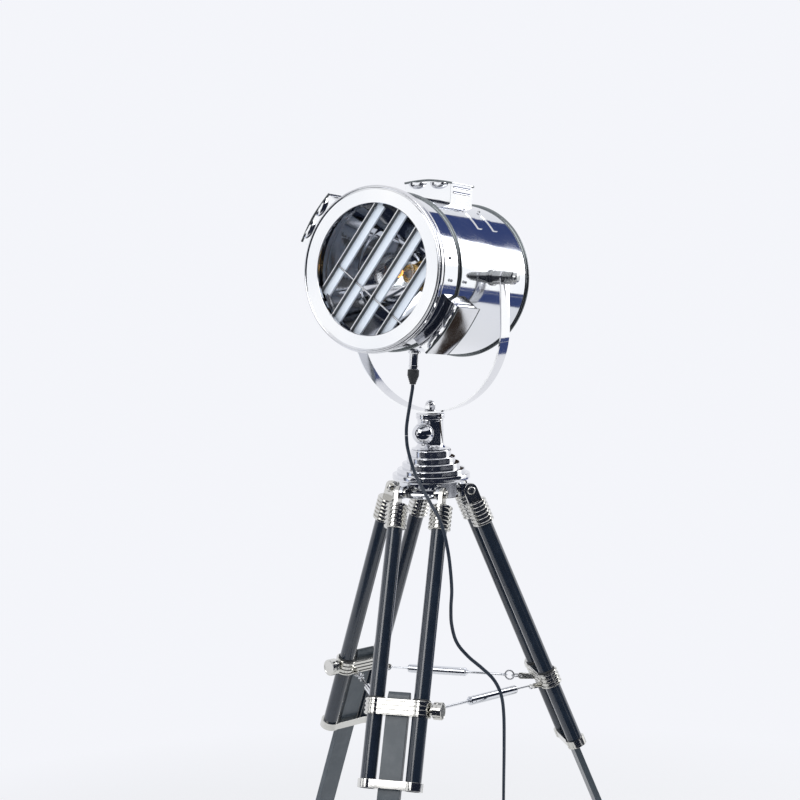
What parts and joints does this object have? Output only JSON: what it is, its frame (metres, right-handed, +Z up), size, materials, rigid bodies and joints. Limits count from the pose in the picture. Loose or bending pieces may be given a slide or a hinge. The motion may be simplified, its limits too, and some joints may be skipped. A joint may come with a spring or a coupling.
{
  "type": "tripod spotlight floor lamp",
  "caption": "Drum spotlight with louvred front in a yoke, on a stepped hub and an adjustable tripod of twin tubes with folding braces.",
  "frame": {"origin": "on the floor, under the hub's centre", "axes": "+Z up, the front leg and the light point towards -Y"},
  "size_m": [0.8804, 0.9042, 1.6784],
  "materials": {
    "polished_nickel": "polished nickel, lightly handled",
    "brushed_nickel": "satin nickel sheet",
    "slat_black": "black slats, textured sides",
    "black_tube": "satin black tube",
    "black_bar": "satin black bar",
    "reflector": "bright spun bowl",
    "brass": "lampholder",
    "glass": "clear bulb",
    "rubber": "black rubber",
    "cord": "flexible insulated cord",
    "screw": "screw heads"
  },
  "bodies": {
    "base": {"post": "polished_nickel", "stepped_dome": "polished_nickel", "hub_flange": "polished_nickel", "leg_drum": "polished_nickel", "pan_stud": "polished_nickel", "hinge_bolts": "polished_nickel", "cord_lower": "cord", "cord_coil": "cord", "plug": "rubber"},
    "yoke_body": {"yoke": "polished_nickel", "pivot_nuts": "polished_nickel", "acorn_nut": "polished_nickel", "stud_washer": "polished_nickel", "cord_upper": "cord"},
    "head": {"bezel": "polished_nickel", "bezel_screws": "screw", "louvre_slats": "slat_black", "slat_rod": "brushed_nickel", "slat_screws": "screw", "reflector": "reflector", "lamp_holder": "brass", "bulb": "glass", "front_band": "brushed_nickel", "mid_bead": "polished_nickel", "rear_can": "brushed_nickel", "back_cover": "brushed_nickel", "vent_top": "brushed_nickel", "vent_right": "brushed_nickel", "vent_left": "brushed_nickel", "vent_screws": "screw", "cable_gland": "polished_nickel", "cable_sleeve": "rubber", "pivot_collars": "polished_nickel", "pivot_bolts": "polished_nickel"},
    "pan_knob_body": {"pan_knob": "polished_nickel"},
    "leg_front": {"front_ferrules": "polished_nickel", "front_tubes": "black_tube", "front_clamp": "polished_nickel"},
    "slide_front": {"front_slat": "black_bar", "front_foot": "rubber"},
    "knob_front": {"front_knob": "polished_nickel"},
    "brace_front": {"front_links": "polished_nickel", "front_brace": "polished_nickel"},
    "leg_right": {"right_ferrules": "polished_nickel", "right_tubes": "black_tube", "right_clamp": "polished_nickel"},
    "slide_right": {"right_slat": "black_bar", "right_foot": "rubber"},
    "knob_right": {"right_knob": "polished_nickel"},
    "brace_right": {"right_links": "polished_nickel", "right_brace": "polished_nickel"},
    "leg_left": {"left_ferrules": "polished_nickel", "left_tubes": "black_tube", "left_clamp": "polished_nickel"},
    "slide_left": {"left_slat": "black_bar", "left_foot": "rubber"},
    "knob_left": {"left_knob": "polished_nickel"},
    "brace_left": {"left_links": "polished_nickel", "left_brace": "polished_nickel"}
  },
  "joints": [
    {"name": "head_pan", "type": "hinge", "parent": "base", "child": "yoke_body", "pos_m": [0, 0, 1.229], "axis": [0, 0, 1], "range_deg": [-90, 90], "deforming": ["cord_lower"]},
    {"name": "head_tilt", "type": "hinge", "parent": "yoke_body", "child": "head", "pos_m": [0, 0, 1.491], "axis": [0.829, -0.5592, 0], "range_deg": [-50, 30], "deforming": ["cord_upper"]},
    {"name": "pan_knob_turn", "type": "hinge", "parent": "base", "child": "pan_knob_body", "pos_m": [0, 0, 1.1935], "axis": [-0.309, -0.9511, 0], "range_deg": [-90, 90]},
    {"name": "leg_fold_front", "type": "hinge", "parent": "base", "child": "leg_front", "pos_m": [-0.0207, -0.06372, 1.081], "axis": [0.9511, -0.309, 0], "range_deg": [0, 20]},
    {"name": "leg_slide_front", "type": "slide", "parent": "leg_front", "child": "slide_front", "axis": [0.1158, 0.3563, 0.9272], "range_m": [0, 0.22]},
    {"name": "clamp_knob_front", "type": "hinge", "parent": "leg_front", "child": "knob_front", "pos_m": [-0.00136, -0.23071, 0.70271], "axis": [0.9511, -0.309, 0], "range_deg": [-90, 90]},
    {"name": "brace_swing_front", "type": "hinge", "parent": "leg_front", "child": "brace_front", "pos_m": [-0.019, -0.18793, 0.68847], "axis": [-0.6691, 0.7431, 0], "range_deg": [0, 100]},
    {"name": "leg_fold_right", "type": "hinge", "parent": "base", "child": "leg_right", "pos_m": [0.06554, 0.01393, 1.081], "axis": [-0.2079, 0.9781, 0], "range_deg": [0, 20]},
    {"name": "leg_slide_right", "type": "slide", "parent": "leg_right", "child": "slide_right", "axis": [-0.3664, -0.0779, 0.9272], "range_m": [0, 0.22]},
    {"name": "clamp_knob_right", "type": "hinge", "parent": "leg_right", "child": "knob_right", "pos_m": [0.20048, 0.11418, 0.70271], "axis": [-0.2079, 0.9781, 0], "range_deg": [-90, 90]},
    {"name": "brace_swing_right", "type": "hinge", "parent": "leg_right", "child": "brace_right", "pos_m": [0.17226, 0.07751, 0.68847], "axis": [-0.309, -0.9511, 0], "range_deg": [0, 100]},
    {"name": "leg_fold_left", "type": "hinge", "parent": "base", "child": "leg_left", "pos_m": [-0.04483, 0.04979, 1.081], "axis": [-0.7431, -0.6691, 0], "range_deg": [0, 20]},
    {"name": "leg_slide_left", "type": "slide", "parent": "leg_left", "child": "slide_left", "axis": [0.2507, -0.2784, 0.9272], "range_m": [0, 0.22]},
    {"name": "clamp_knob_left", "type": "hinge", "parent": "leg_left", "child": "knob_left", "pos_m": [-0.19912, 0.11653, 0.70271], "axis": [-0.7431, -0.6691, 0], "range_deg": [-90, 90]},
    {"name": "brace_swing_left", "type": "hinge", "parent": "leg_left", "child": "brace_left", "pos_m": [-0.15325, 0.11042, 0.68847], "axis": [0.9781, 0.2079, 0], "range_deg": [0, 100]}
  ],
  "couplings": [
    {"joint": "brace_swing_front", "follows": "leg_fold_front", "ratio": 5},
    {"joint": "brace_swing_right", "follows": "leg_fold_front", "ratio": 5},
    {"joint": "brace_swing_left", "follows": "leg_fold_front", "ratio": 5},
    {"joint": "leg_fold_right", "follows": "leg_fold_front", "ratio": 1},
    {"joint": "leg_fold_left", "follows": "leg_fold_front", "ratio": 1}
  ]
}
